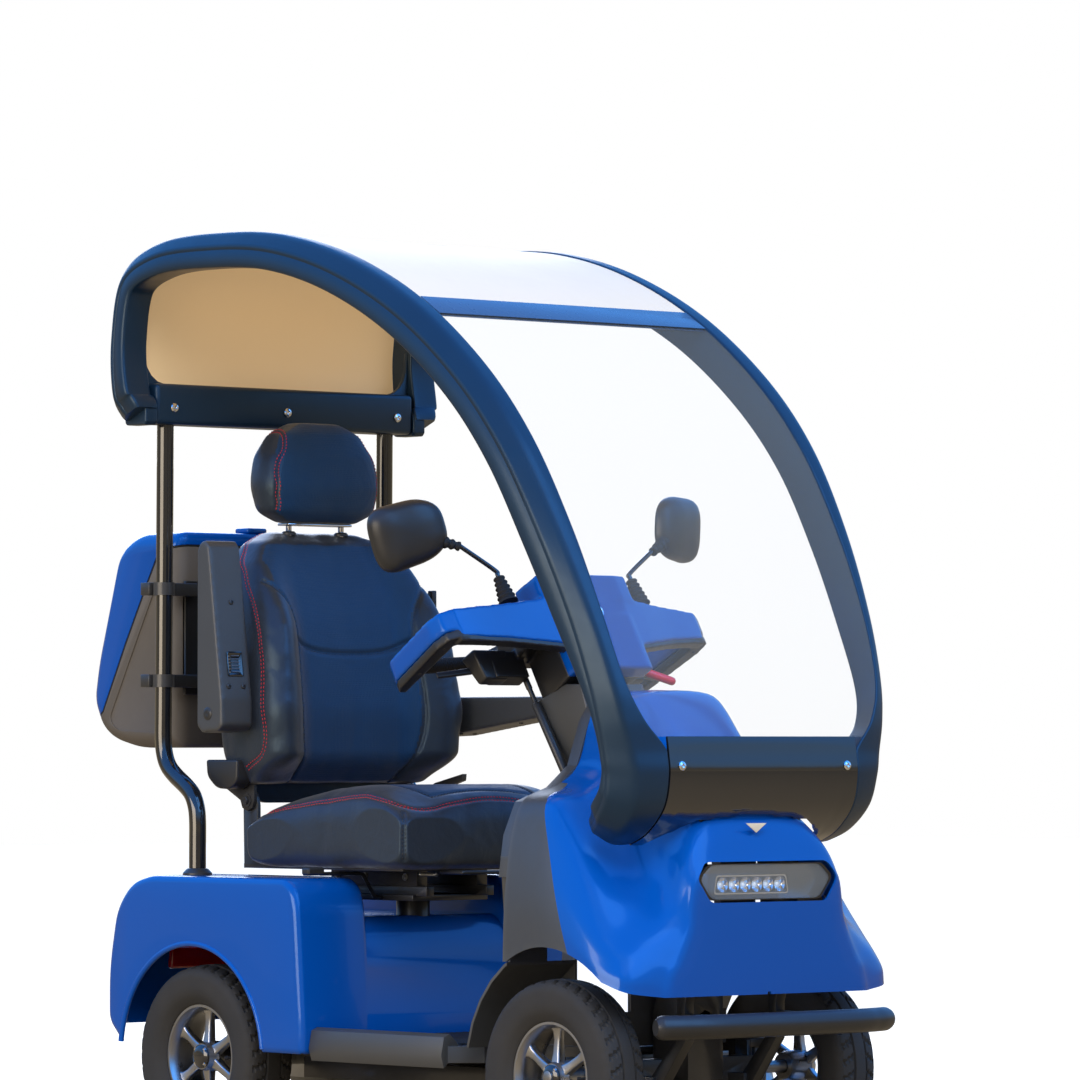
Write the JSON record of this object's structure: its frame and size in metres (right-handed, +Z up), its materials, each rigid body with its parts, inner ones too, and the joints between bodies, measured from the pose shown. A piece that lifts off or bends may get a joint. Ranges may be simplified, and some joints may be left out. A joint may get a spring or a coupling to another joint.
{
  "type": "mobility scooter",
  "caption": "Covered mobility scooter with a swivel seat, delta handlebar tiller, windshield canopy, rear box and gloss body panels",
  "frame": {"origin": "on the ground, under the middle of the overall length and width", "axes": "+X is the driving direction, +Y is the rider's left, +Z is up"},
  "size_m": [1.8798, 0.8674, 1.838],
  "materials": {
    "battery_case": "dark grey",
    "blue_paint": "high-gloss royal blue",
    "box_grey": "grained grey-brown",
    "canopy_plastic": "satin dark blue-black moulding",
    "chrome": "bright",
    "clear_lens": "clear lens",
    "dark_trim": "fine-grained dark grey",
    "frame_paint": "satin black paint on steel",
    "gloss_black": "gloss black",
    "leather": "black synthetic leather with red stitching",
    "red_lens": "red lens",
    "red_sleeve": "red sleeve",
    "rim_alloy": "silver",
    "roof_sheet": "opaque off-white sheet, beige inside",
    "satin_black": "satin black moulding",
    "soft_grip": "ribbed black",
    "steel": "plain",
    "tyre_rubber": "black",
    "windshield": "clear sheet with a faint haze"
  },
  "bodies": {
    "chassis": {"chassis_frame": "frame_paint", "transaxle": "steel", "battery_pack": "battery_case", "floor_deck": "dark_trim", "rear_body": "blue_paint", "tail_light": "red_lens", "front_shroud": "blue_paint", "headlight_lens": "clear_lens", "leg_shield": "dark_trim", "front_bumper": "satin_black", "canopy_side_left": "canopy_plastic", "canopy_side_right": "canopy_plastic", "canopy_front_panel": "gloss_black", "canopy_rear_panel": "canopy_plastic", "canopy_tube_left": "gloss_black", "canopy_tube_right": "gloss_black", "roof_sheet": "roof_sheet", "windshield": "windshield", "trunk_base": "box_grey", "trunk_bracket": "frame_paint"},
    "rear_wheel_right": {"tyre_rear_right": "tyre_rubber", "rim_rear_right": "rim_alloy"},
    "rear_wheel_left": {"tyre_rear_left": "tyre_rubber", "rim_rear_left": "rim_alloy"},
    "knuckle_right_body": {"knuckle_right": "steel"},
    "knuckle_left_body": {"knuckle_left": "steel"},
    "front_wheel_right": {"tyre_front_right": "tyre_rubber", "rim_front_right": "rim_alloy"},
    "front_wheel_left": {"tyre_front_left": "tyre_rubber", "rim_front_left": "rim_alloy"},
    "tie_rod_body": {"tie_rod": "steel"},
    "stem": {"steering_stem": "steel"},
    "tiller": {"tiller_column": "dark_trim", "tiller_shell": "blue_paint", "tiller_underside": "satin_black", "grip_right": "soft_grip", "grip_left": "soft_grip"},
    "throttle": {"throttle_lever": "satin_black"},
    "brake": {"brake_lever": "satin_black"},
    "tilt_release": {"tilt_lever": "red_sleeve"},
    "key": {"ignition_key": "chrome"},
    "dial": {"speed_dial": "satin_black"},
    "mirror_arm_right": {"mirror_stem_right": "frame_paint"},
    "mirror_arm_left": {"mirror_stem_left": "frame_paint"},
    "mirror_head_right": {"mirror_right": "satin_black"},
    "mirror_head_left": {"mirror_left": "satin_black"},
    "box_lid": {"trunk_lid": "blue_paint"},
    "box_latch": {"trunk_latch": "blue_paint"},
    "seat_turntable": {"swivel_base": "frame_paint"},
    "swivel_release": {"swivel_lever": "frame_paint"},
    "seat_carriage": {"seat_pan": "frame_paint", "seat_cushion": "leather"},
    "slide_release": {"slide_lever": "frame_paint"},
    "backrest": {"backrest_frame": "satin_black", "backrest_cushion": "leather"},
    "recline_release": {"recline_lever": "satin_black"},
    "headrest": {"headrest_posts": "chrome", "headrest_cushion": "leather"},
    "arm_right": {"armrest_right": "dark_trim"},
    "arm_left": {"armrest_left": "dark_trim"}
  },
  "joints": [
    {"name": "wheel_rear_right", "type": "hinge", "parent": "chassis", "child": "rear_wheel_right", "pos_m": [-0.42, -0.3, 0.185], "axis": [0, 1, 0], "continuous": true},
    {"name": "wheel_rear_left", "type": "hinge", "parent": "chassis", "child": "rear_wheel_left", "pos_m": [-0.42, 0.3, 0.185], "axis": [0, 1, 0], "continuous": true},
    {"name": "steer", "type": "hinge", "parent": "chassis", "child": "stem", "pos_m": [0.475, 0, 0.7], "axis": [-0.4226, 0, 0.9063], "range_deg": [-32, 32]},
    {"name": "kingpin_right", "type": "hinge", "parent": "chassis", "child": "knuckle_right_body", "pos_m": [0.63, -0.205, 0.185], "axis": [0, 0, 1], "range_deg": [-28, 28]},
    {"name": "kingpin_left", "type": "hinge", "parent": "chassis", "child": "knuckle_left_body", "pos_m": [0.63, 0.205, 0.185], "axis": [0, 0, 1], "range_deg": [-28, 28]},
    {"name": "wheel_front_right", "type": "hinge", "parent": "knuckle_right_body", "child": "front_wheel_right", "pos_m": [0.63, -0.305, 0.185], "axis": [0, 1, 0], "continuous": true},
    {"name": "wheel_front_left", "type": "hinge", "parent": "knuckle_left_body", "child": "front_wheel_left", "pos_m": [0.63, 0.305, 0.185], "axis": [0, 1, 0], "continuous": true},
    {"name": "tie_rod_slide", "type": "slide", "parent": "chassis", "child": "tie_rod_body", "axis": [0, 1, 0], "range_m": [-0.05, 0.05]},
    {"name": "tiller_tilt", "type": "hinge", "parent": "stem", "child": "tiller", "pos_m": [0.475, 0, 0.7], "axis": [0, 1, 0], "range_deg": [-10, 4]},
    {"name": "throttle_squeeze", "type": "hinge", "parent": "tiller", "child": "throttle", "pos_m": [0.27001, -0.188, 0.96188], "axis": [0.5, 0, -0.866], "range_deg": [0, 12], "stiffness_Nm_per_rad": 0.6, "springref_deg": -5.73},
    {"name": "brake_squeeze", "type": "hinge", "parent": "tiller", "child": "brake", "pos_m": [0.27001, 0.188, 0.96188], "axis": [-0.5, 0, 0.866], "range_deg": [0, 12], "stiffness_Nm_per_rad": 0.6, "springref_deg": -5.73},
    {"name": "tilt_release_lift", "type": "hinge", "parent": "tiller", "child": "tilt_release", "pos_m": [0.37268, 0.0975, 0.96804], "axis": [1, 0, 0], "range_deg": [0, 20], "stiffness_Nm_per_rad": 0.8, "springref_deg": -17.19},
    {"name": "key_turn", "type": "hinge", "parent": "tiller", "child": "key", "pos_m": [0.2467, -0.088, 1.05523], "axis": [-0.8659, 0, 0.5003], "range_deg": [0, 60]},
    {"name": "dial_turn", "type": "hinge", "parent": "tiller", "child": "dial", "pos_m": [0.2467, 0.088, 1.05523], "axis": [-0.8659, 0, 0.5003], "range_deg": [-135, 135]},
    {"name": "mirror_arm_right_turn", "type": "hinge", "parent": "tiller", "child": "mirror_arm_right", "pos_m": [0.318, -0.176, 1.105], "axis": [-0.5, 0, 0.866], "range_deg": [-20, 20]},
    {"name": "mirror_arm_left_turn", "type": "hinge", "parent": "tiller", "child": "mirror_arm_left", "pos_m": [0.318, 0.176, 1.105], "axis": [-0.5, 0, 0.866], "range_deg": [-20, 20]},
    {"name": "mirror_head_right_turn", "type": "hinge", "parent": "mirror_arm_right", "child": "mirror_head_right", "pos_m": [0.273, -0.262, 1.203], "axis": [0, 0, 1], "range_deg": [-25, 25]},
    {"name": "mirror_head_left_turn", "type": "hinge", "parent": "mirror_arm_left", "child": "mirror_head_left", "pos_m": [0.273, 0.262, 1.203], "axis": [0, 0, 1], "range_deg": [-25, 25]},
    {"name": "box_lid_hinge", "type": "hinge", "parent": "chassis", "child": "box_lid", "pos_m": [-0.912, 0, 0.842], "axis": [0, -1, 0], "range_deg": [0, 75]},
    {"name": "box_latch_slide", "type": "slide", "parent": "box_lid", "child": "box_latch", "axis": [1, 0, 0], "range_m": [0, 0.008], "stiffness_N_per_m": 300, "springref_m": -0.004},
    {"name": "seat_swivel", "type": "hinge", "parent": "chassis", "child": "seat_turntable", "pos_m": [-0.16, 0, 0.5], "axis": [0, 0, 1], "range_deg": [-90, 70]},
    {"name": "swivel_release_pull", "type": "hinge", "parent": "seat_turntable", "child": "swivel_release", "pos_m": [-0.14, -0.1018, 0.5065], "axis": [0, 0, 1], "range_deg": [0, 15], "stiffness_Nm_per_rad": 1.2, "springref_deg": -8.59},
    {"name": "seat_slide", "type": "slide", "parent": "seat_turntable", "child": "seat_carriage", "axis": [1, 0, 0], "range_m": [-0.03, 0.035]},
    {"name": "slide_release_lift", "type": "hinge", "parent": "seat_carriage", "child": "slide_release", "pos_m": [0.053, 0, 0.56], "axis": [0, -1, 0], "range_deg": [0, 8], "stiffness_Nm_per_rad": 1.2, "springref_deg": -17.19},
    {"name": "backrest_recline", "type": "hinge", "parent": "seat_carriage", "child": "backrest", "pos_m": [-0.425, 0, 0.7], "axis": [0, 1, 0], "range_deg": [-3, 30]},
    {"name": "recline_release_lift", "type": "hinge", "parent": "backrest", "child": "recline_release", "pos_m": [-0.425, 0.24, 0.7], "axis": [0, -1, 0], "range_deg": [0, 20], "stiffness_Nm_per_rad": 1, "springref_deg": -17.19},
    {"name": "headrest_slide", "type": "slide", "parent": "backrest", "child": "headrest", "axis": [0, 0, 1], "range_m": [0, 0.05]},
    {"name": "arm_right_pivot", "type": "hinge", "parent": "backrest", "child": "arm_right", "pos_m": [-0.388, -0.3, 0.875], "axis": [0, 1, 0], "range_deg": [0, 90]},
    {"name": "arm_left_pivot", "type": "hinge", "parent": "backrest", "child": "arm_left", "pos_m": [-0.388, 0.3, 0.875], "axis": [0, 1, 0], "range_deg": [-90, 0]}
  ],
  "couplings": [
    {"joint": "kingpin_right", "follows": "steer", "ratio": 0.85},
    {"joint": "kingpin_left", "follows": "steer", "ratio": 0.85},
    {"joint": "tie_rod_slide", "follows": "steer", "m_per_rad": -0.085}
  ]
}
